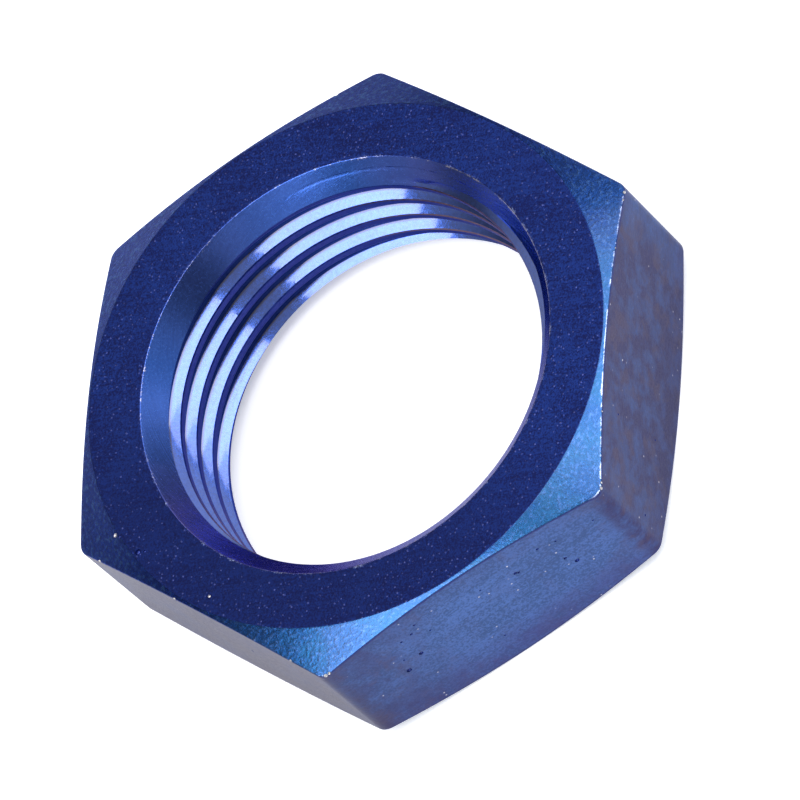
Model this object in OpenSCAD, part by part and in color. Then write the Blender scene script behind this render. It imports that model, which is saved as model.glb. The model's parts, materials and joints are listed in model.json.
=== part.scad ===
/* [Hexagon] */
// Width across the flats
across_flats = 25.4; // [23.4:0.1:32]
// Thickness between the two faces
thickness = 7.95; // [6:0.05:20]
// Radius that rounds the six upright corners
corner_r = 0.6; // [0.3:0.1:2]

/* [Corner chamfers] */
// Gap between the edge of the round face and the middle of each flat
face_inset = 0.15; // [0.05:0.05:0.5]
// Angle between the face and the cone that chamfers the corners
chamfer_angle = 22; // [15:1:30]

/* [Threaded hole] */
// Major diameter of the internal thread, at its roots
thread_major = 19.3; // [17:0.1:21]
// Pitch of the thread
pitch = 1.59; // [1:0.01:2]
// Share of the thread's full height that the tapping drill leaves to be cut
thread_share = 0.75; // [0.5:0.05:1]
// Gap between the thread's roots and the rim of each countersink
rim_gap = 0.35; // [0.05:0.05:0.5]
// Angle between the axis and the wall of each countersink
countersink_angle = 45; // [30:1:60]

/* [Hidden] */

$fn = 96;
// Cutters and the chamfer cones reach this far past the surfaces that they leave.
past = 1;

face_r = across_flats / 2 - face_inset;
// The full height of a 60 degree internal thread is five eighths of that of the sharp one.
minor_r = thread_major / 2 - thread_share * 5 / 8 * pitch * cos(30);
rim_r = thread_major / 2 + rim_gap;

// Section of the hexagonal bar: six flats joined by an arc at each corner.
module bar_section() {
    half_flat = (across_flats / 2 - corner_r) * tan(30);
    polygon([
        for (flat = [0:5], way = [-1, 1])
            let (a = 60 * flat)
                across_flats / 2 * [cos(a), sin(a)] + way * half_flat * [-sin(a), cos(a)]
    ]);
    for (corner = [0:5])
        rotate(60 * corner + 30)
            translate([(across_flats / 2 - corner_r) / cos(30), 0])
                circle(corner_r);
}

// Turned envelope: a flat round face at each end and a cone that takes the corners down.
module turned_envelope() {
    reach = across_flats / sqrt(3) + past;
    drop = (reach - face_r) * tan(chamfer_angle);
    rotate_extrude()
        polygon([
            [0, 0],
            [face_r, 0],
            [reach, drop],
            [reach, thickness - drop],
            [face_r, thickness],
            [0, thickness],
        ]);
}

// Tapping hole at the thread's minor diameter, with a countersink at each end.
module countersunk_hole() {
    depth = (rim_r - minor_r) / tan(countersink_angle);
    mouth_r = rim_r + past * tan(countersink_angle);
    rotate_extrude()
        polygon([
            [0, -past],
            [mouth_r, -past],
            [minor_r, depth],
            [minor_r, thickness - depth],
            [mouth_r, thickness + past],
            [0, thickness + past],
        ]);
}

module lock_nut() {
    color("royalblue")
        difference() {
            intersection() {
                linear_extrude(thickness) bar_section();
                turned_envelope();
            }
            countersunk_hole();
        }
}

lock_nut();
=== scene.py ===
"""A blue anodised hex lock nut, lying on a pale floor in soft studio light.

Lengths are in millimetres, and MM turns them into Blender's metres; only the floor and the lamps are given in
metres. The nut lies on its lower face, with the thread's axis along +Z, as it does in the CAD model.
"""
import json
from math import cos, pi, radians, sin, tan

import bpy
import numpy as np
from mathutils import Euler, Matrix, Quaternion, Vector


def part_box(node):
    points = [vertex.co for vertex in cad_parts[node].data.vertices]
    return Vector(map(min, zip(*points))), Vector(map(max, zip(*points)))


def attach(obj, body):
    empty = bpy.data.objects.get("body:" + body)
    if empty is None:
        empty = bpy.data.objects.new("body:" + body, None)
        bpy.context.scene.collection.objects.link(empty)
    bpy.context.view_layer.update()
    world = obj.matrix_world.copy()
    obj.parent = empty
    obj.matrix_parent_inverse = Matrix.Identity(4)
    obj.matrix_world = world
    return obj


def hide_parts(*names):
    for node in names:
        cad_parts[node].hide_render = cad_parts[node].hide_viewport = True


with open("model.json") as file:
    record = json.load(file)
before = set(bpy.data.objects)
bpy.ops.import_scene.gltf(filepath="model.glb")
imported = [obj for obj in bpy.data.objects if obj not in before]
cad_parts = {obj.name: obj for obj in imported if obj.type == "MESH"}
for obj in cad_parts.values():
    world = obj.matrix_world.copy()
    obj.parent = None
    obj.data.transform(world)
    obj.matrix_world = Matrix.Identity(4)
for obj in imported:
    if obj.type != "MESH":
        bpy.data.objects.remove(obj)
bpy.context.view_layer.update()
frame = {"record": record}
cad_low, cad_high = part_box("lock_nut")
MM = 0.001

# Viewpoint.
# A long lens looks down on the nut from a distance of 0.37 m, rolled so that the nut's axis leans to the
# upper left of the picture.
view_azimuth = radians(-13.3)
view_elevation = radians(54.13)
view_roll = radians(-47.5)
view_distance = 370.96
view_aim = Vector((0.297, -0.858, 3.966))
view_back = Vector((
    sin(view_azimuth) * cos(view_elevation),
    -cos(view_azimuth) * cos(view_elevation),
    sin(view_elevation),
))
lens = bpy.data.cameras.new("long_lens")
lens.sensor_width = 36
lens.lens = 377.56
lens.clip_start = 0.01
lens.clip_end = 20
camera = bpy.data.objects.new("camera", lens)
camera.location = (view_aim + view_back * view_distance) * MM
camera.rotation_euler = (
    (-view_back).to_track_quat("-Z", "Y") @ Quaternion((0, 0, 1), view_roll)
).to_euler()
bpy.context.collection.objects.link(camera)
bpy.context.scene.camera = camera

# Nut blank.
# A slice of hexagonal aluminium bar, faced on both sides, coned over its corners, drilled and countersunk,
# with its edges broken. It is anodised and dyed blue, a tinted metal under a thin clear layer, and each
# surface keeps its own tool's marks, with pale flecks, stains and worn edges. Some of its colours are painted
# light and shade: highlight on the cones, reflected light in the countersinks, shade on the flats and deep in
# the thread's root, and highlight and shade along the edges.
thread_mount = next(m for m in frame["record"]["mounts"] if m["name"] == "thread")
across_flats = (cad_high.x - cad_low.x) / MM
across_corners = (cad_high.y - cad_low.y) / MM
thickness = (cad_high.z - cad_low.z) / MM
minor_r = thread_mount["dims"]["r_mm"]
countersink_depth = (thickness - thread_mount["dims"]["length_mm"]) / 2
half_bore = thickness / 2 - countersink_depth
rim_r = minor_r + countersink_depth
# The cones start this far inside the flats.
face_inset = 0.15
face_r = across_flats / 2 - face_inset
cone_angle = radians(22)
sharp_corner = across_flats / 2 / cos(pi / 6)
corner_r = (sharp_corner - across_corners / 2) / (1 / cos(pi / 6) - 1)
# How far the edges round the hole and the face are broken, and those between the cones and the flats.
face_edge_break = 0.04
flat_edge_break = 0.05
flat_steps = 96
corner_steps = 12
edge_steps = 6
# An edge's colour of wear and painted light fades out over this distance, or over this share of a narrow
# surface.
wear_reach = 0.22
wear_share = 0.45
fleck_height = 0.008
# Painted shade: the flats darken towards the floor.
painted_floor_shade_colour = (0.030, 0.024, 0.15)
stain_colour = (0.055, 0.036, 0.070)
# Painted shade deep in the thread's root.
painted_root_shade_colour = (0.006, 0.012, 0.09)


class Shader:
    """A material's node tree, with short calls for the nodes that the finishes share."""

    def __init__(self, name):
        self.material = bpy.data.materials.new(name)
        self.material.use_nodes = True
        self.tree = self.material.node_tree
        self.surface = self.tree.nodes["Principled BSDF"]
        place = self.tree.nodes.new("ShaderNodeTexCoord").outputs["Object"]
        self.place = self.vector("SCALE", place, Scale=1 / MM)
        split = self.tree.nodes.new("ShaderNodeSeparateXYZ")
        self.link(self.place, split.inputs[0])
        self.east, self.north, self.height = split.outputs
        self.radius = self.vector("LENGTH", self.vector("MULTIPLY", self.place, (1, 1, 0)))

    def link(self, source, target):
        if hasattr(source, "links"):
            self.tree.links.new(source, target)
        else:
            target.default_value = source

    def math(self, operation, *values):
        node = self.tree.nodes.new("ShaderNodeMath")
        node.operation = operation
        for socket, value in zip(node.inputs, values):
            self.link(value, socket)
        return node.outputs[0]

    def vector(self, operation, *values, **named):
        node = self.tree.nodes.new("ShaderNodeVectorMath")
        node.operation = operation
        for socket, value in zip(node.inputs, values):
            self.link(value, socket)
        for name, value in named.items():
            self.link(value, node.inputs[name])
        return node.outputs["Value" if operation in ("LENGTH", "DOT_PRODUCT") else "Vector"]

    def turn(self, place, angle):
        node = self.tree.nodes.new("ShaderNodeVectorRotate")
        self.link(place, node.inputs["Vector"])
        self.link(angle, node.inputs["Angle"])
        return node.outputs[0]

    def noise(self, per_mm, detail=2.0, rough=0.5, place=None):
        node = self.tree.nodes.new("ShaderNodeTexNoise")
        node.inputs["Scale"].default_value = per_mm
        node.inputs["Detail"].default_value = detail
        node.inputs["Roughness"].default_value = rough
        self.link(place or self.place, node.inputs["Vector"])
        return node.outputs["Fac"]

    def ramp(self, value, low, high, to_low=0.0, to_high=1.0):
        """A smooth step from to_low at low to to_high at high."""
        node = self.tree.nodes.new("ShaderNodeMapRange")
        node.interpolation_type = "SMOOTHSTEP"
        for name, number in (("From Min", low), ("From Max", high), ("To Min", to_low), ("To Max", to_high)):
            node.inputs[name].default_value = number
        self.link(value, node.inputs["Value"])
        return node.outputs["Result"]

    def mix(self, factor, first, second):
        node = self.tree.nodes.new("ShaderNodeMix")
        node.data_type = "RGBA"
        self.link(factor, node.inputs["Factor"])
        for name, colour in (("A", first), ("B", second)):
            self.link(colour if hasattr(colour, "links") else (*colour, 1), node.inputs[name])
        return node.outputs["Result"]

    def bump(self, height, depth, under=None):
        node = self.tree.nodes.new("ShaderNodeBump")
        node.inputs["Distance"].default_value = depth * MM
        self.link(height, node.inputs["Height"])
        if under is not None:
            self.link(under, node.inputs["Normal"])
        return node.outputs["Normal"]

    def in_bore(self):
        """1 between the two countersinks."""
        off_middle = self.math("ABSOLUTE", self.math("SUBTRACT", self.height, thickness / 2))
        return self.ramp(off_middle, half_bore - 0.18, half_bore + 0.02, 1, 0)

    def around(self, stops):
        """A value that changes round the nut, from (bearing in degrees, value) stops, -180 to 180."""
        bearing = self.math("ARCTAN2", self.north, self.east)
        node = self.tree.nodes.new("ShaderNodeValToRGB")
        self.link(self.math("MULTIPLY_ADD", bearing, 0.5 / pi, 0.5), node.inputs[0])
        marks = node.color_ramp.elements
        for k, (degrees, value) in enumerate(stops):
            share = degrees / 360 + 0.5
            if k < 2:
                mark = marks[k]
                mark.position = share
            else:
                mark = marks.new(share)
            mark.color = (value, value, value, 1)
        return node.outputs["Color"]

    def attribute(self, name):
        node = self.tree.nodes.new("ShaderNodeAttribute")
        node.attribute_name = name
        return node.outputs["Fac"]

    def straight_lay(self, bearing):
        """Marks that run along a bearing in degrees, as from a flat cutter."""
        return self.vector("MULTIPLY", self.turn(self.place, radians(-bearing)), (0.2, 6.0, 1.0))

    def level_lay(self):
        """Marks that run round the nut at one height."""
        return self.vector("MULTIPLY", self.place, (0.9, 0.9, 3.0))

    def turned_lay(self):
        """Short marks that run round a turned surface."""
        join = self.tree.nodes.new("ShaderNodeCombineXYZ")
        self.link(self.math("ADD", self.radius, self.height), join.inputs["Z"])
        level = self.vector("MULTIPLY", self.place, (4.5, 4.5, 0))
        return self.vector("ADD", level, self.vector("SCALE", join.outputs[0], Scale=10.0))

    def crossing_lay(self, twist):
        """Marks that cross a turned band, leaning by twist radians per millimetre of height."""
        level = self.vector("MULTIPLY", self.place, (1, 1, 0))
        leaning = self.turn(level, self.math("MULTIPLY", self.height, twist))
        return self.vector("SCALE", self.vector("NORMALIZE", leaning), Scale=40.0)

    def ring_lay(self):
        """Marks that run round the axis, each at its own radius and height."""
        join = self.tree.nodes.new("ShaderNodeCombineXYZ")
        self.link(self.radius, join.inputs["X"])
        self.link(self.height, join.inputs["Z"])
        return self.vector("SCALE", join.outputs[0], Scale=9.0)

    def flecks(self, per_mm, share, size):
        """Small spots of a size, in that share of the cells of a Voronoi pattern."""
        node = self.tree.nodes.new("ShaderNodeTexVoronoi")
        node.inputs["Scale"].default_value = per_mm
        self.link(self.place, node.inputs["Vector"])
        chosen = self.tree.nodes.new("ShaderNodeSeparateColor")
        self.link(node.outputs["Color"], chosen.inputs[0])
        spot = self.ramp(node.outputs["Distance"], 0.3 * size * per_mm, size * per_mm, 1, 0)
        return self.math("MULTIPLY", spot, self.ramp(chosen.outputs[0], share, 0.0))


def anodised(
    name, deep, pale, roughness, grain, lay, lay_depth,
    grain_size=7.0, contrast=0.14, coat=1.0, coat_roughness=0.3, coat_ior=1.5, edge_tint=(1.0, 1.0, 1.0),
    edge=(0.38, 0.46, 0.78), edge_wear_and_light=((-180, 0.5), (180, 0.5)),
    fleck=None, fleck_colour=(0.20, 0.28, 0.62), streak=None,
    shade_and_tarnish=None, shade_and_tarnish_around=None, tone_and_painted_light=None, tone_and_painted_light_around=None, painted_shade_beyond=None,
):
    """A dyed surface, with a tool's marks from the Shader call that lay names.

    Its colours are deep and pale. Grain and lay_depth are the depths of its texture, and grain_size is the
    number of grains in a millimetre. Fleck holds the arguments of Shader.flecks, and streak is a colour along
    the tool's marks. One colour that comes and goes round the nut is painted shade with tarnish, darker also
    towards the top and, as painted shade, near the floor; another is a tone, which paints highlight on the
    cone and reflected light on the countersink. The edge colour marks wear, and also paints highlight along
    the cone's edges and shade along the flats' edges. Past a given radius, the wall of the hole is painted
    dark, as shade deep in the thread's root.
    """
    shader = Shader(name)
    surface = shader.surface
    fine = shader.noise(grain_size, detail=3, rough=0.65)
    cloud = shader.noise(0.45, detail=4, rough=0.6)
    marks = shader.noise(1.0, detail=3, rough=0.6, place=getattr(shader, lay[0])(*lay[1:]))
    tone = shader.math("ADD", shader.math("MULTIPLY", fine, 0.6), shader.math("MULTIPLY", cloud, 0.2))
    tone = shader.math("ADD", tone, shader.math("MULTIPLY", marks, 0.2))
    colour = shader.mix(shader.ramp(tone, 0.5 - contrast, 0.5 + contrast), deep, pale)
    # Painted shade with tarnish in blotches on the flats that face darker surroundings, a little more towards
    # the top, and stains where it is strongest.
    if shade_and_tarnish:
        blotch = shader.ramp(shader.noise(0.9, detail=5, rough=0.7), 0.35, 0.65, 0.6, 1.2)
        shade_and_tarnish_mask = shader.math("MULTIPLY", shader.around(shade_and_tarnish_around), blotch)
        # Painted shade near the floor.
        painted_floor_shade = shader.math("MULTIPLY", shader.ramp(shader.height, 3.2, 0.1, 0.0, 0.6), blotch)
        colour = shader.mix(painted_floor_shade, colour, painted_floor_shade_colour)
        shade_and_tarnish_mask = shader.math("ADD", shade_and_tarnish_mask, shader.ramp(shader.height, 6.0, 7.8, 0.0, 0.15))
        colour = shader.mix(shade_and_tarnish_mask, colour, shade_and_tarnish)
        stain = shader.noise(0.7, detail=4, rough=0.65)
        brown = shader.math("MULTIPLY", shader.ramp(stain, 0.5, 0.62), shade_and_tarnish_mask)
        colour = shader.mix(shader.math("MULTIPLY", brown, 0.45), colour, stain_colour)
    # Painted shade: the wall of the hole darkens towards the thread's root, where little light reaches.
    if painted_shade_beyond:
        painted_root_shade = shader.ramp(shader.radius, painted_shade_beyond, painted_shade_beyond + 0.08)
        colour = shader.mix(shader.math("MULTIPLY", painted_root_shade, shader.in_bore()), colour, painted_root_shade_colour)
    # A tone that comes and goes round the nut: painted highlight on the cone, painted reflected light on the
    # countersink.
    if tone_and_painted_light:
        side = shader.math("MULTIPLY", shader.around(tone_and_painted_light_around), shader.ramp(cloud, 0.35, 0.6, 0.7, 1.0))
        colour = shader.mix(side, colour, tone_and_painted_light)
    if streak:
        colour = shader.mix(shader.ramp(marks, 0.50, 0.68, 0.0, 0.7), colour, streak)
    normal = shader.bump(marks, lay_depth, under=shader.bump(fine, grain))
    if fleck:
        relief = shader.flecks(*fleck)
        colour = shader.mix(shader.math("MULTIPLY", relief, 0.8), colour, fleck_colour)
        normal = shader.bump(relief, fleck_height, under=normal)
    # Edge colour: wear, with painted highlight along the cone's edges and painted shade along the flats'
    # edges.
    here = shader.math("MULTIPLY", shader.attribute("wear"), shader.around(edge_wear_and_light))
    broken = shader.math("MULTIPLY", shader.math("ADD", fine, shader.noise(1.6)), 0.9)
    edge_wear_and_light_mask = shader.ramp(shader.math("ADD", here, broken), 1.45, 1.75)
    colour = shader.mix(edge_wear_and_light_mask, colour, edge)
    shader.link(colour, surface.inputs["Base Color"])
    surface.inputs["Metallic"].default_value = 1
    surface.inputs["Specular Tint"].default_value = (*edge_tint, 1)
    surface.inputs["Coat Weight"].default_value = coat
    surface.inputs["Coat Roughness"].default_value = coat_roughness
    surface.inputs["Coat IOR"].default_value = coat_ior
    shader.link(shader.ramp(fine, 0.2, 0.8, roughness * 0.8, roughness * 1.2), surface.inputs["Roughness"])
    shader.link(normal, surface.inputs["Normal"])
    return shader.material


turned_face = anodised(
    "turned_face", (0.004, 0.013, 0.145), (0.012, 0.047, 0.315), 0.42, 0.010, ("straight_lay", 121), 0.006,
    grain_size=13.0, contrast=0.08, coat=0.58, fleck=(6.0, 0.50, 0.06), fleck_colour=(0.12, 0.15, 0.46),
    tone_and_painted_light=(0.002, 0.008, 0.10),
    tone_and_painted_light_around=((-180, 0.55), (-120, 0.5), (-80, 0), (120, 0), (150, 0.5), (180, 0.55)),
)
# The cone's tone is painted highlight, paler and more cyan at the bearings where it shines.
turned_cone = anodised(
    "turned_cone", (0.006, 0.026, 0.20), (0.012, 0.046, 0.31), 0.25, 0.009, ("turned_lay",), 0.012,
    grain_size=6.5, coat=0.45, coat_roughness=0.15, edge_tint=(0.75, 0.78, 1.0), fleck=(2.6, 0.05, 0.04),
    streak=(0.05, 0.13, 0.36),
    # Worn edges, with painted highlight at the bearings where the edge shines.
    edge_wear_and_light=(
        (-180, 0.4), (-150, 0.5), (-142, 0.1), (-96, 0.1), (-90, 0.9), (-84, 0.6), (-60, 0.9), (-56, 0.5),
        (-32, 0.65), (-28, 0.3), (0, 0.3), (180, 0.4),
    ),
    tone_and_painted_light=(0.012, 0.092, 0.21),
    tone_and_painted_light_around=((-180, 0), (-172, 0.3), (-158, 0.8), (-50, 0.8), (-30, 0.35), (-5, 0), (180, 0)),
)
# The flats carry painted shade with tarnish on the sides that face darker surroundings, and painted shade
# near the floor.
drawn_flat = anodised(
    "drawn_flat", (0.014, 0.055, 0.18), (0.050, 0.122, 0.36), 0.45, 0.012, ("level_lay",), 0.014,
    grain_size=8.0, contrast=0.09, coat=0.36, edge_tint=(0.52, 0.54, 0.68), fleck=(2.4, 0.32, 0.06),
    # A dark line along the flats' edges, of dirt and painted shade.
    fleck_colour=(0.60, 0.58, 0.64), edge=(0.008, 0.015, 0.12), edge_wear_and_light=((-180, 1), (180, 1)),
    shade_and_tarnish=(0.014, 0.012, 0.075),
    shade_and_tarnish_around=(
        (-180, 0.7), (-152, 0.7), (-140, 0.5), (-126, 0.12), (-100, 0.2), (-93, 0.3), (-91, 0.9), (-87, 0.9),
        (-60, 1), (-38, 0.9), (-30, 0.5), (150, 0.5), (180, 0.7),
    ),
    tone_and_painted_light=(0.05, 0.035, 0.045),
    tone_and_painted_light_around=((-180, 0.8), (-152, 0.8), (-147, 0), (147, 0), (152, 0.8), (180, 0.8)),
)
# The countersink's tone is painted reflected light, paler where it mirrors dim surroundings.
countersink = anodised(
    "countersink", (0.019, 0.066, 0.29), (0.030, 0.096, 0.38), 0.24, 0.002, ("crossing_lay", 0.5), 0.008,
    grain_size=10.0, coat=0.18, coat_roughness=0.15, edge_tint=(0.35, 0.33, 0.55),
    edge_wear_and_light=((-180, 0.45), (-120, 0.7), (0, 0.7), (20, 0.5), (60, 0.45), (110, 0.6), (180, 0.45)),
    edge=(0.50, 0.48, 0.62),
    tone_and_painted_light=(0.20, 0.17, 0.60),
    tone_and_painted_light_around=(
        (-180, 0.9), (-150, 0.8), (-125, 0.15), (-30, 0.1), (10, 0.3), (35, 0), (60, 0.05), (85, 0.15),
        (112, 0), (140, 0.08), (152, 0.4), (166, 0.85), (180, 0.9),
    ),
)
drilled_crest = anodised(
    "drilled_crest", (0.017, 0.025, 0.15), (0.034, 0.048, 0.23), 0.45, 0.004, ("ring_lay",), 0.010,
    coat=0.0, edge_tint=(0.5, 0.5, 0.75),
    tone_and_painted_light=(0.012, 0.025, 0.16), tone_and_painted_light_around=((-180, 0), (-100, 0.6), (20, 1), (50, 0), (180, 0)),
)


def bar_outline():
    """Points round the hexagonal bar, anticlockwise, from the flat that faces +X."""
    half_flat = (across_flats / 2 - corner_r) * tan(pi / 6)
    points = []
    for side in range(6):
        out = np.array([cos(side * pi / 3), sin(side * pi / 3)])
        along = np.array([-out[1], out[0]])
        for step in range(flat_steps):
            points.append(out * across_flats / 2 + along * half_flat * (2 * step / flat_steps - 1))
        corner = side * pi / 3 + pi / 6
        centre = (across_flats / 2 - corner_r) / cos(pi / 6) * np.array([cos(corner), sin(corner)])
        for step in range(corner_steps):
            a = corner + (step / corner_steps - 0.5) * pi / 3
            points.append(centre + corner_r * np.array([cos(a), sin(a)]))
    return points


def blank_profile(bar_r):
    """Half of the blank's section at a place where the bar's surface is bar_r from the axis.

    It runs from the middle of the hole, over the upper face, to the middle of the flat, as (radius, height,
    material, wear) rows. Height is above the middle plane.
    """
    top = thickness / 2
    cone_foot = top - (bar_r - face_r) * tan(cone_angle)
    corners = (
        (minor_r, top - countersink_depth, face_edge_break, 0.0),
        (rim_r, top, face_edge_break, 1.0),
        (face_r, top, face_edge_break, 0.0),
        (bar_r, cone_foot, flat_edge_break, 1.0),
    )
    stations = [(minor_r, 0.0)] + [c[:2] for c in corners] + [(bar_r, 0.0)]
    zones = (drilled_crest, countersink, turned_face, turned_cone, drawn_flat)
    rows = [(minor_r, 0.0, zones[0], 0.0)]
    for k, (r, z, break_size, wear) in enumerate(corners):
        here = np.array([r, z])
        before = np.array(stations[k]) - here
        after = np.array(stations[k + 2]) - here
        before_length = np.linalg.norm(before)
        after_length = np.linalg.norm(after)
        start = here + before / before_length * break_size
        end = here + after / after_length * break_size
        rows.append((*(here + before * min(wear_share, wear_reach / before_length)), zones[k], 0.0))
        for step in range(edge_steps + 1):
            t = step / edge_steps
            point = (1 - t) ** 2 * start + 2 * t * (1 - t) * here + t ** 2 * end
            rows.append((*point, zones[k] if t < 0.5 else zones[k + 1], wear))
        rows.append((*(here + after * min(wear_share, wear_reach / after_length)), zones[k + 1], 0.0))
    return rows


materials = [turned_face, turned_cone, drawn_flat, countersink, drilled_crest]
outline = bar_outline()
verts = []
zone_rows = []
for point in outline:
    bar_r = float(np.hypot(*point))
    half = blank_profile(bar_r)
    lower = [(r, -z, zone, wear) for r, z, zone, wear in reversed(half)]
    ring = half + [(bar_r, 0.0, drawn_flat, 0.0)] + lower[:-1]
    for r, z, zone, wear in ring:
        verts.append((*(point / bar_r * r * MM), (z + thickness / 2) * MM))
    zone_rows = ring
rows = len(zone_rows)
columns = len(outline)
faces = []
face_materials = []
for column in range(columns):
    here = column * rows
    there = (column + 1) % columns * rows
    for row in range(rows):
        up = (row + 1) % rows
        faces.append((here + row, here + up, there + up, there + row))
        lower_half = row > rows // 2
        face_materials.append(materials.index(zone_rows[up if lower_half else row][2]))
blank_mesh = bpy.data.meshes.new("nut_blank")
blank_mesh.from_pydata(verts, [], faces)
for material in materials:
    blank_mesh.materials.append(material)
blank_mesh.polygons.foreach_set("material_index", face_materials)
wear = blank_mesh.attributes.new("wear", "FLOAT", "POINT")
wear.data.foreach_set("value", [row[3] for row in zone_rows] * columns)
blank_mesh.update()
blank = bpy.data.objects.new("nut_blank", blank_mesh)
bpy.context.collection.objects.link(blank)

# Tapped thread.
# A tap cuts a right-hand 60 degree groove up the hole, with a rounded root and broken edges. It ran in at the
# upper countersink, where it left a fading mark. Small balls then cut the pits and chips of a used nut.
major_r = 9.65
pitch = 1.59
root_width = 0.26 * pitch
root_rounding = 0.34
flank_angle = radians(30)
edge_break = 0.04
edge_break_angle = radians(65)
# The cutters start this far inside the crests.
clearance = 0.1
# A crest is this far below the upper face at this bearing.
crest_bearing = 125.2
crest_depth = 1.436 * pitch
spare_turns = 2
thread_turns = np.ceil(thickness / pitch) + 2 * spare_turns
# Height of the groove's middle at bearing 0, half a pitch above a crest.
groove_height = thickness - crest_depth + pitch / 2 - crest_bearing / 360 * pitch
thread_start = groove_height % pitch - spare_turns * pitch
# Past this radius the groove's faces take a dark finish, painted shade deep in the root.
painted_shade_root_r = 9.43
# Where the tap ran in, the groove fades out up the countersink. What it keeps of its depth goes from none to
# all between these two cosines of the angle from there.
run_in_bearing = radians(50)
none_kept = 0.5
all_kept = -0.34
# Where none is kept, it loses this much depth in each millimetre above the bore, down to a faint mark.
fading_slope = 2.2
# The more is kept, the deeper the mark is and the higher above the bore its countersunk finish starts.
mark_depth = 0.05
mark_gain = 0.13
finish_height = 0.25
finish_gain = 0.5
# Close to the rim the mark deepens again, from this height above the bore, by this much in each millimetre.
rim_mark_height = 0.5
rim_mark_slope = 0.3
sharp_angle = radians(22)

# The flank is painted darker towards the root, as shade.
tapped_flank = anodised(
    "tapped_flank", (0.010, 0.050, 0.30), (0.022, 0.085, 0.42), 0.14, 0.003, ("ring_lay",), 0.003,
    coat_roughness=0.08, coat_ior=1.75, fleck=(3.0, 0.10, 0.05), fleck_colour=(0.01, 0.05, 0.28),
    painted_shade_beyond=painted_shade_root_r - 0.06,
)
# Painted shade: the dark finish deep in the groove's root.
thread_root = anodised(
    "thread_root", (0.011, 0.026, 0.15), (0.020, 0.044, 0.23), 0.45, 0.003, ("ring_lay",), 0.004,
    coat=0.0, edge_tint=(0.3, 0.3, 0.6),
)
crest_edge = anodised(
    "crest_edge", (0.014, 0.03, 0.20), (0.03, 0.05, 0.28), 0.35, 0.004, ("ring_lay",), 0.004,
    coat=0.0, edge_tint=(0.4, 0.4, 0.6),
    tone_and_painted_light=(0.17, 0.11, 0.12),
    tone_and_painted_light_around=((-180, 0.9), (-90, 0.9), (20, 1), (50, 0), (140, 0), (165, 0.9), (180, 0.9)),
)
pit_floor = anodised(
    "pit_floor", (0.008, 0.008, 0.05), (0.02, 0.015, 0.08), 0.6, 0.010, ("level_lay",), 0.005,
    coat=0.2, edge_tint=(0.3, 0.3, 0.5),
)
chipped_edge = anodised(
    "chipped_edge", (0.24, 0.24, 0.27), (0.66, 0.64, 0.66), 0.35, 0.020, ("level_lay",), 0.010,
    grain_size=12.0, coat=0.2,
)

tree = bpy.data.node_groups.new("tapped_thread", "GeometryNodeTree")
tree.is_modifier = True
for name, kind, default in (
    ("Blank", "NodeSocketGeometry", None),
    ("Major Radius", "NodeSocketFloat", major_r * MM),
    ("Minor Radius", "NodeSocketFloat", minor_r * MM),
    ("Pitch", "NodeSocketFloat", pitch * MM),
    ("Turns", "NodeSocketFloat", float(thread_turns)),
    ("Start Height", "NodeSocketFloat", thread_start * MM),
    ("Root Width", "NodeSocketFloat", root_width * MM),
    ("Root Rounding", "NodeSocketFloat", root_rounding * MM),
    ("Edge Break", "NodeSocketFloat", edge_break * MM),
    ("Steps Per Turn", "NodeSocketInt", 120),
    ("Pits", "NodeSocketObject", None),
    ("Chips", "NodeSocketObject", None),
    ("Flank Finish", "NodeSocketMaterial", None),
    ("Dark Root Radius", "NodeSocketFloat", painted_shade_root_r * MM),
    ("Half Bore", "NodeSocketFloat", half_bore * MM),
    ("Middle Height", "NodeSocketFloat", thickness / 2 * MM),
    ("Run Out Depth", "NodeSocketFloat", mark_depth * MM),
    ("Root Finish", "NodeSocketMaterial", None),
    ("Run Out Finish", "NodeSocketMaterial", None),
    ("Crest Edge Finish", "NodeSocketMaterial", None),
    ("Pit Finish", "NodeSocketMaterial", None),
    ("Chip Finish", "NodeSocketMaterial", None),
):
    socket = tree.interface.new_socket(name, in_out="INPUT", socket_type=kind)
    if default is not None:
        socket.default_value = default
tree.interface.new_socket("Nut", in_out="OUTPUT", socket_type="NodeSocketGeometry")


def add(kind, inputs=(), **settings):
    """A node with its settings, and each input linked to a socket or set to a value."""
    node = tree.nodes.new(kind)
    for name, value in settings.items():
        setattr(node, name, value)
    for name, value in dict(inputs).items():
        if hasattr(value, "links"):
            tree.links.new(value, node.inputs[name])
        else:
            node.inputs[name].default_value = value
    return node.outputs[0]


def calculate(operation, *values):
    return add("ShaderNodeMath", dict(enumerate(values)), operation=operation)


def split(place):
    """The X, Y and Z sockets of a vector."""
    node = tree.nodes.new("ShaderNodeSeparateXYZ")
    tree.links.new(place, node.inputs[0])
    return node.outputs


given = tree.nodes.new("NodeGroupInput").outputs
rise = calculate("MULTIPLY", given["Turns"], given["Pitch"])


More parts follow.
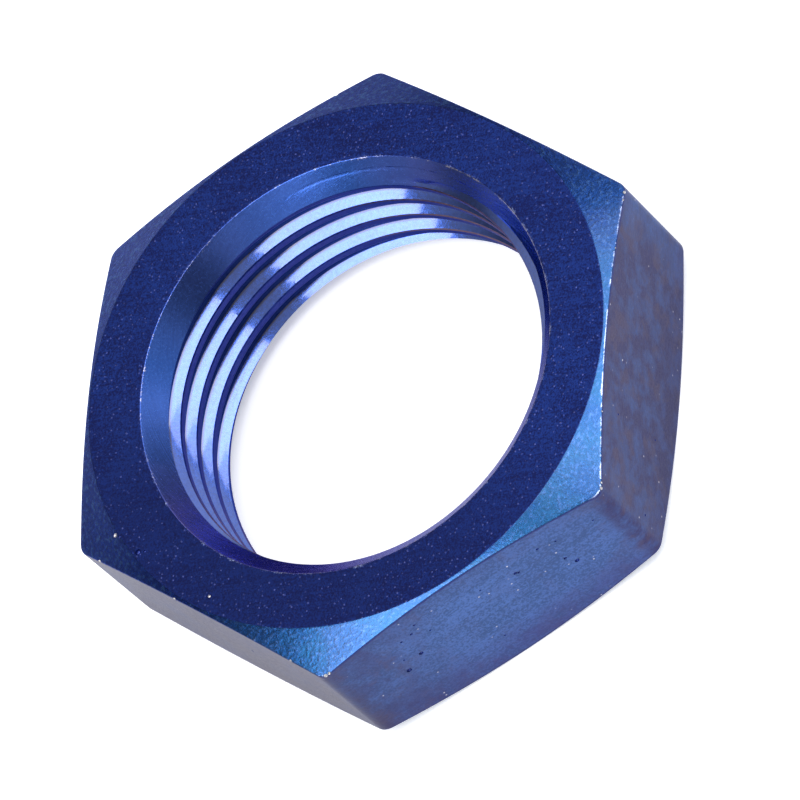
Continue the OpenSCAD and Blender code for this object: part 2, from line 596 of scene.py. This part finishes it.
def helical_cut(inner, outer, root, side_angle, rounding, finish, wall):
    """A cutter from radius inner to outer, root wide at its outer end and opening inwards by side_angle.

    Its faces hold wall, which is 1 on the groove's own and 0 on the edge break's.
    """
    depth = calculate("SUBTRACT", outer, inner)
    flare = calculate("MULTIPLY", depth, 2 * tan(side_angle))
    profile = add("GeometryNodeCurvePrimitiveQuadrilateral", {
        "Height": depth,
        "Bottom Width": calculate("ADD", root, flare),
        "Top Width": root,
        "Offset": 0.0,
    }, mode="TRAPEZOID")
    at_root = calculate("GREATER_THAN", split(add("GeometryNodeInputPosition"))["Y"], 0.0)
    profile = add("GeometryNodeFilletCurve", {
        "Curve": profile,
        "Count": 5,
        "Radius": calculate("MULTIPLY", at_root, rounding),
        "Limit Radius": True,
    }, mode="POLY")
    profile = add("GeometryNodeSubdivideCurve", {"Curve": profile, "Cuts": 1})
    profile = add("GeometryNodeTransform", {"Geometry": profile, "Rotation": Euler((0, 0, -pi / 2))})
    middle = calculate("MULTIPLY", calculate("ADD", inner, outer), 0.5)
    path = add("GeometryNodeCurveSpiral", {
        "Resolution": given["Steps Per Turn"],
        "Rotations": given["Turns"],
        "Start Radius": middle,
        "End Radius": middle,
        "Height": rise,
        "Reverse": True,
    })
    path = add("GeometryNodeSetCurveNormal", {"Curve": path}, mode="Z_UP")
    sweep = add("GeometryNodeCurveToMesh", {"Curve": path, "Profile Curve": profile, "Fill Caps": True})
    lift = add("ShaderNodeCombineXYZ", {"Z": given["Start Height"]})
    sweep = add("GeometryNodeTransform", {"Geometry": sweep, "Translation": lift})
    place = add("GeometryNodeInputPosition")
    level = add("ShaderNodeVectorMath", {0: place, 1: (1, 1, 0)}, operation="MULTIPLY")
    radius = tree.nodes.new("ShaderNodeVectorMath")
    radius.operation = "LENGTH"
    tree.links.new(level, radius.inputs[0])
    radius = radius.outputs["Value"]
    east, north, height = split(place)
    past_middle = calculate("SUBTRACT", height, given["Middle Height"])
    past_bore = calculate("SUBTRACT", past_middle, given["Half Bore"])
    # Above the bore, a limit on the groove's depth below the countersink's cone.
    bearing = calculate("ARCTAN2", north, east)
    kept = add("ShaderNodeMapRange", {
        "Value": calculate("COSINE", calculate("SUBTRACT", bearing, run_in_bearing)),
        "From Min": none_kept,
        "From Max": all_kept,
    }, clamp=False)
    full_depth = calculate("SUBTRACT", given["Major Radius"], given["Minor Radius"])
    limit = calculate("SUBTRACT", full_depth, calculate("MULTIPLY", past_bore, fading_slope))
    for other in (
        calculate("MULTIPLY_ADD", kept, mark_gain * MM, given["Run Out Depth"]),
        calculate("MULTIPLY_ADD", past_bore, rim_mark_slope, -rim_mark_slope * rim_mark_height * MM),
        calculate("MULTIPLY", kept, full_depth),
    ):
        limit = calculate("MAXIMUM", limit, other)
    limit_r = calculate("ADD", calculate("ADD", given["Minor Radius"], limit), past_bore)
    above_bore = calculate("GREATER_THAN", past_bore, 0.0)
    too_deep = calculate("MULTIPLY", above_bore, calculate("GREATER_THAN", radius, limit_r))
    shrink = calculate("SUBTRACT", calculate("DIVIDE", limit_r, radius), 1.0)
    move = add("ShaderNodeVectorMath", {0: level, "Scale": shrink}, operation="SCALE")
    sweep = add("GeometryNodeSetPosition", {"Geometry": sweep, "Selection": too_deep, "Offset": move})
    # Faces deep in the root take the painted shade finish.
    in_painted_shade_root = calculate("GREATER_THAN", radius, given["Dark Root Radius"])
    finish_start = calculate("MULTIPLY_ADD", kept, finish_gain * MM, finish_height * MM)
    in_run_out = calculate("GREATER_THAN", past_bore, finish_start)
    for chosen, material in (
        (True, finish), (in_painted_shade_root, given["Root Finish"]), (in_run_out, given["Run Out Finish"]),
    ):
        sweep = add("GeometryNodeSetMaterial", {"Geometry": sweep, "Selection": chosen, "Material": material})
    plain = calculate("SUBTRACT", 1.0, calculate("MAXIMUM", in_painted_shade_root, in_run_out))
    return add("GeometryNodeStoreNamedAttribute", {
        "Geometry": sweep, "Name": "groove", "Value": calculate("MULTIPLY", plain, wall),
    }, data_type="FLOAT", domain="FACE")


def spot_cuts(spots, finish):
    """A small ball at each point of an object, of the size that the point holds."""
    points = tree.nodes.new("GeometryNodeObjectInfo")
    tree.links.new(spots, points.inputs["Object"])
    size = tree.nodes.new("GeometryNodeInputNamedAttribute")
    size.inputs["Name"].default_value = "size"
    balls = add("GeometryNodeInstanceOnPoints", {
        "Points": points.outputs["Geometry"],
        "Instance": add("GeometryNodeMeshIcoSphere", {"Radius": 1.0, "Subdivisions": 3}),
        "Scale": size.outputs["Attribute"],
    })
    balls = add("GeometryNodeRealizeInstances", {"Geometry": balls})
    return add("GeometryNodeSetMaterial", {"Geometry": balls, "Material": finish})


lip = calculate("SUBTRACT", given["Minor Radius"], clearance * MM)
groove = helical_cut(
    lip, given["Major Radius"], given["Root Width"], flank_angle, given["Root Rounding"],
    given["Flank Finish"], 1.0,
)
break_r = calculate("ADD", given["Minor Radius"], given["Edge Break"])
groove_depth = calculate("SUBTRACT", given["Major Radius"], break_r)
groove_mouth = calculate("MULTIPLY_ADD", groove_depth, 2 * tan(flank_angle), given["Root Width"])
broken_edges = helical_cut(
    lip, break_r, groove_mouth, edge_break_angle, 0.0, given["Crest Edge Finish"], 0.0,
)
cut = given["Blank"]
for cutter in (
    groove, broken_edges,
    spot_cuts(given["Pits"], given["Pit Finish"]),
    spot_cuts(given["Chips"], given["Chip Finish"]),
):
    meshes = {"Mesh 1": cut, "Mesh 2": cutter}
    cut = add("GeometryNodeMeshBoolean", meshes, operation="DIFFERENCE", solver="MANIFOLD")
realized = add("GeometryNodeRealizeInstances", {"Geometry": cut})
groove_wall = tree.nodes.new("GeometryNodeInputNamedAttribute")
groove_wall.inputs["Name"].default_value = "groove"
finished = add("GeometryNodeSetMaterial", {
    "Geometry": realized,
    "Selection": calculate("GREATER_THAN", groove_wall.outputs["Attribute"], 0.5),
    "Material": given["Flank Finish"],
})
out = tree.nodes.new("NodeGroupOutput")
tree.links.new(finished, out.inputs["Nut"])


def spot_points(name, rows):
    """Points that each hold a size, from rows of (bearing, distance out, distance along, height, radius)."""
    mesh = bpy.data.meshes.new(name)
    places = []
    for bearing, out_by, along, height, radius in rows:
        turned = radians(bearing)
        x = out_by * cos(turned) - along * sin(turned)
        y = out_by * sin(turned) + along * cos(turned)
        places.append((x * MM, y * MM, height * MM))
    mesh.from_pydata(places, [], [])
    size = mesh.attributes.new("size", "FLOAT_VECTOR", "POINT")
    size.data.foreach_set("vector", np.repeat([row[4] * MM for row in rows], 3))
    spots = bpy.data.objects.new(name, mesh)
    bpy.context.collection.objects.link(spots)
    return spots


def upper_edge(along):
    """Height of the edge where a flat meets the upper cone."""
    return thickness - (np.hypot(across_flats / 2, along) - face_r) * tan(cone_angle)


half_across = across_flats / 2
# Bearing of the flat, distance along it, height and radius.
flat_pits = (
    (240, -4.45, 3.90, 0.13), (240, -3.50, 4.50, 0.11), (240, 4.39, 3.80, 0.12), (240, 4.09, 4.46, 0.08),
    (240, 4.36, 6.00, 0.05), (240, 3.54, 6.27, 0.07), (240, 2.07, 5.65, 0.09), (240, 2.20, 5.55, 0.07),
    (240, -0.34, 1.99, 0.05), (240, 6.20, 5.73, 0.05), (240, -2.74, 6.64, 0.06), (240, -3.14, 6.18, 0.07),
    (240, -3.71, 6.09, 0.06), (240, -4.25, 4.78, 0.05), (240, -2.43, 5.62, 0.05), (240, 0.44, 6.06, 0.05),
    (300, -3.16, 6.09, 0.05), (300, -6.48, 2.66, 0.06), (300, -2.73, 2.24, 0.05), (60, 2.0, 4.0, 0.08),
    (120, -3.0, 5.2, 0.07), (0, 3.2, 3.1, 0.08), (180, 1.5, 4.4, 0.07),
)
# Bearing, distance out and radius.
face_pits = (
    (160.9, 12.29, 0.15), (161.9, 12.04, 0.07), (160.1, 12.49, 0.06), (154.9, 12.58, 0.09),
    (158.6, 12.44, 0.05),
)
pits = spot_points(
    "pits",
    [(bearing, half_across, along, height, radius) for bearing, along, height, radius in flat_pits]
    + [(bearing, out_by, 0, thickness, radius) for bearing, out_by, radius in face_pits],
)
# Bearing of the flat, distance along its upper edge and radius.
edge_chips = (
    (300, 7.00, 0.09), (300, 6.60, 0.06), (300, -7.10, 0.09), (300, -6.85, 0.06), (300, -3.70, 0.05),
    (300, 4.10, 0.04), (240, -7.15, 0.11), (240, -6.95, 0.08), (180, -6.00, 0.08), (180, -1.10, 0.06),
    (180, 5.60, 0.07), (60, -5.2, 0.08),
)
face_chips = ((153.8, 12.74, 0.12), (154.3, 12.84, 0.08), (182.4, 11.90, 0.07))
chips = spot_points(
    "chips",
    [(bearing, half_across, along, upper_edge(along), radius) for bearing, along, radius in edge_chips]
    + [(bearing, out_by, 0, thickness, radius) for bearing, out_by, radius in face_chips],
)

tapping = blank.modifiers.new("tapped_thread", "NODES")
tapping.node_group = tree
sockets = {item.name: item.identifier for item in tree.interface.items_tree if item.in_out == "INPUT"}
for name, value in (
    ("Pits", pits), ("Chips", chips), ("Flank Finish", tapped_flank), ("Crest Edge Finish", crest_edge),
    ("Root Finish", thread_root), ("Run Out Finish", countersink),
    ("Pit Finish", pit_floor), ("Chip Finish", chipped_edge),
):
    tapping[sockets[name]] = value
depsgraph = bpy.context.evaluated_depsgraph_get()
nut_mesh = bpy.data.meshes.new_from_object(blank.evaluated_get(depsgraph))
for helper in (blank, pits, chips):
    bpy.data.objects.remove(helper)
nut = bpy.data.objects.new("tapped_lock_nut", nut_mesh)
bpy.context.collection.objects.link(nut)
nut_mesh.shade_smooth()
nut_mesh.set_sharp_from_angle(angle=sharp_angle)
weighted = nut.modifiers.new("weighted_normals", "WEIGHTED_NORMAL")
weighted.keep_sharp = True
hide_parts("lock_nut")
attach(nut, "root")

# Floor and light.
# A white floor that keeps the shadow, soft boxes a metre overhead with a darker gap between them, and a dim
# room with brighter walls: the far one low down, the left and right ones, and the near one beside the camera.
floor_mesh = bpy.data.meshes.new("floor")
half_floor = 2.0
floor_gap = 0.01
# What the floor gives off to the eye alone, so that it looks white round the shadow.
floor_glow = 0.42
corners = [(x * half_floor, y * half_floor, 0) for x, y in ((-1, -1), (1, -1), (1, 1), (-1, 1))]
floor_mesh.from_pydata(corners, [], [(0, 1, 2, 3)])
floor = bpy.data.objects.new("floor", floor_mesh)
floor.location.z = -floor_gap * MM
bpy.context.collection.objects.link(floor)
paint = Shader("floor_paint")
paint.surface.inputs["Base Color"].default_value = (0.9, 0.9, 0.9, 1)
paint.surface.inputs["Roughness"].default_value = 0.9
paint.surface.inputs["Emission Color"].default_value = (1, 1, 1, 1)
seen = paint.tree.nodes.new("ShaderNodeLightPath").outputs
seen_by_eye = paint.math("MAXIMUM", seen["Is Camera Ray"], seen["Is Glossy Ray"])
seen_by_eye = paint.math("MAXIMUM", seen_by_eye, seen["Is Transmission Ray"])
paint.link(paint.math("MULTIPLY", seen_by_eye, floor_glow), paint.surface.inputs["Emission Strength"])
floor_mesh.materials.append(paint.material)

room = bpy.data.worlds.new("room")
room.use_nodes = True
room_tree = room.node_tree
direction = room_tree.nodes.new("ShaderNodeSeparateXYZ")
room_tree.links.new(room_tree.nodes.new("ShaderNodeTexCoord").outputs["Generated"], direction.inputs[0])


def in_room(operation, *values):
    node = room_tree.nodes.new("ShaderNodeMath")
    node.operation = operation
    for socket, value in zip(node.inputs, values):
        if hasattr(value, "links"):
            room_tree.links.new(value, socket)
        else:
            socket.default_value = value
    return node.outputs[0]


def fade(value, start, end, full=1.0):
    """A smooth step from 0 at start to full at end."""
    node = room_tree.nodes.new("ShaderNodeMapRange")
    node.interpolation_type = "SMOOTHSTEP"
    node.inputs["From Min"].default_value = start
    node.inputs["From Max"].default_value = end
    node.inputs["To Max"].default_value = full
    room_tree.links.new(value, node.inputs["Value"])
    return node.outputs["Result"]


right, far, up = direction.outputs
near = in_room("MULTIPLY", far, -1)
beside_camera = in_room("ABSOLUTE", in_room("SUBTRACT", right, 0.1))
room_light = 0.20
for wall, extent in (
    (fade(far, 0.6, 0.8, 0.52), fade(up, 0.6, 0.3)),
    (in_room("MULTIPLY", fade(near, 0.2, 0.5), fade(beside_camera, 0.1, 0.45, 0.9)), fade(up, 0.75, 0.6)),
    (fade(right, -0.45, -0.75, 0.5), fade(far, 0.55, 0.25)),
    (fade(right, 0.70, 0.78, 1.1), fade(up, 0.25, 0.42)),
):
    room_light = in_room("ADD", room_light, in_room("MULTIPLY", wall, extent))
room_tree.nodes["Background"].inputs["Color"].default_value = (1, 1, 1, 1)
room_tree.links.new(room_light, room_tree.nodes["Background"].inputs["Strength"])
bpy.context.scene.world = room


def soft_box(name, place, size, radiance):
    """A lamp that faces straight down, with its place and size in metres."""
    lamp = bpy.data.lights.new(name, "AREA")
    lamp.shape = "RECTANGLE"
    lamp.size, lamp.size_y = size
    lamp.energy = radiance * pi * size[0] * size[1]
    light = bpy.data.objects.new(name, lamp)
    light.location = place
    bpy.context.collection.objects.link(light)


soft_box("right_soft_box", (0.61, -0.35, 1.0), (0.94, 0.30), 5.4)
soft_box("right_far_soft_box", (0.56, 0.05, 1.0), (1.02, 0.50), 2.9)
soft_box("left_soft_box", (-0.60, -0.10, 1.0), (0.86, 0.70), 5.2)
soft_box("middle_soft_box", (-0.02, -0.22, 1.0), (0.28, 0.66), 0.5)

bpy.context.scene.view_settings.view_transform = "Standard"
